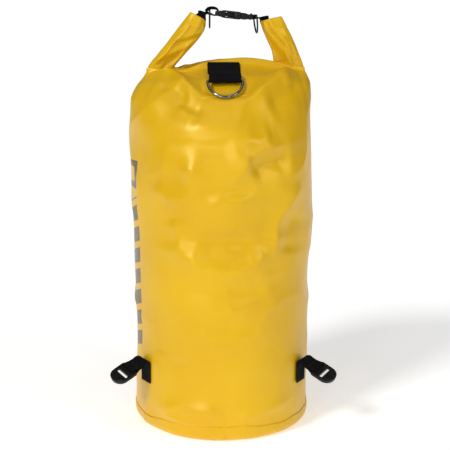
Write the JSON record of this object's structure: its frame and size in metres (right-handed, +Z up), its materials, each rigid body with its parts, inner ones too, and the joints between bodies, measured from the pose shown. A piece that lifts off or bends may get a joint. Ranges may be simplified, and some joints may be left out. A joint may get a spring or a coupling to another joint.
{
  "type": "roll-top dry bag",
  "caption": "Tall round tarpaulin dry bag with rolled, buckled top forming a carry handle, front D-ring and lower strap tabs with ladder-locks.",
  "frame": {"origin": "centre of the round base, on the floor", "axes": "+Z up; -Y is the front with the large D-ring; the buckled handle runs along X, +X to its male half"},
  "size_m": [0.316, 0.26, 0.5873],
  "materials": {
    "tarpaulin": "semi-gloss coated tarpaulin, yellow",
    "webbing": "woven black polyester webbing",
    "plastic": "moulded black acetal, satin",
    "wire": "black coated wire",
    "steel": "polished nickel-plated steel",
    "strip": "plain flexible plastic strip"
  },
  "bodies": {
    "bag": {"tube_wall": "tarpaulin", "base_panel": "tarpaulin", "closure_roll": "tarpaulin", "stiffener_front": "strip", "stiffener_rear": "strip", "dring_patch": "tarpaulin", "dring_webbing": "webbing", "left_anchor": "webbing", "right_anchor": "webbing"},
    "handle": {"left_ear": "tarpaulin", "left_strap": "webbing", "buckle_female": "plastic"},
    "handle_right": {"right_ear": "tarpaulin"},
    "buckle_male_half": {"buckle_male": "plastic", "right_strap": "webbing"},
    "prong_front": {"prong_front": "plastic"},
    "prong_back": {"prong_back": "plastic"},
    "ring_left": {"left_ring": "wire"},
    "ring_right": {"right_ring": "wire"},
    "dring": {"d_ring": "steel"},
    "tab_left": {"left_tab": "webbing"},
    "lock_left": {"left_ladder_lock": "plastic"},
    "tab_right": {"right_tab": "webbing"},
    "lock_right": {"right_ladder_lock": "plastic"}
  },
  "joints": [
    {"name": "handle_swing", "type": "hinge", "parent": "bag", "child": "handle", "pos_m": [0, 0, 0.5142], "axis": [1, 0, 0], "range_deg": [-30, 30]},
    {"name": "buckle_release", "type": "hinge", "parent": "handle", "child": "handle_right", "pos_m": [0.0905, 0, 0.5142], "axis": [0, 1, 0], "range_deg": [0, 22], "deforming": ["right_strap"]},
    {"name": "buckle_pull", "type": "hinge", "parent": "handle_right", "child": "buckle_male_half", "pos_m": [0.08524, 0, 0.57688], "axis": [0, 1, 0], "range_deg": [-22, 0]},
    {"name": "prong_front_squeeze", "type": "hinge", "parent": "buckle_male_half", "child": "prong_front", "pos_m": [0.02454, -0.0098, 0.57552], "axis": [0.108, 0, 0.9942], "range_deg": [-11, 0]},
    {"name": "prong_back_squeeze", "type": "hinge", "parent": "buckle_male_half", "child": "prong_back", "pos_m": [0.02454, 0.0098, 0.57552], "axis": [0.108, 0, 0.9942], "range_deg": [0, 11]},
    {"name": "left_ring_swing", "type": "hinge", "parent": "handle", "child": "ring_left", "pos_m": [-0.0195, 0, 0.5834], "axis": [0, 1, 0], "range_deg": [-30, 6]},
    {"name": "right_ring_swing", "type": "hinge", "parent": "buckle_male_half", "child": "ring_right", "pos_m": [0.0436, 0, 0.5766], "axis": [-0.1045, 0.9945, 0], "range_deg": [-6, 25]},
    {"name": "dring_lift", "type": "hinge", "parent": "bag", "child": "dring", "pos_m": [0.0008, -0.06952, 0.49139], "axis": [-1, 0, 0], "range_deg": [0, 140]},
    {"name": "left_tab_fold", "type": "hinge", "parent": "bag", "child": "tab_left", "pos_m": [-0.1151, -0.07054, 0.1], "axis": [-0.5225, 0.8526, 0], "range_deg": [-25, 60]},
    {"name": "left_lock_tilt", "type": "hinge", "parent": "tab_left", "child": "lock_left", "pos_m": [-0.13095, -0.08025, 0.09134], "axis": [-0.5942, 0.7739, 0.2193], "range_deg": [-40, 40]},
    {"name": "right_tab_fold", "type": "hinge", "parent": "bag", "child": "tab_right", "pos_m": [0.1151, -0.07054, 0.1], "axis": [-0.5225, -0.8526, 0], "range_deg": [-25, 60]},
    {"name": "right_lock_tilt", "type": "hinge", "parent": "tab_right", "child": "lock_right", "pos_m": [0.13095, -0.08025, 0.09134], "axis": [-0.5942, -0.7739, -0.2193], "range_deg": [-40, 40]}
  ],
  "couplings": [
    {"joint": "buckle_pull", "follows": "buckle_release", "ratio": -1},
    {"joint": "prong_front_squeeze", "follows": "buckle_release", "ratio": -0.495},
    {"joint": "prong_back_squeeze", "follows": "buckle_release", "ratio": 0.495}
  ]
}
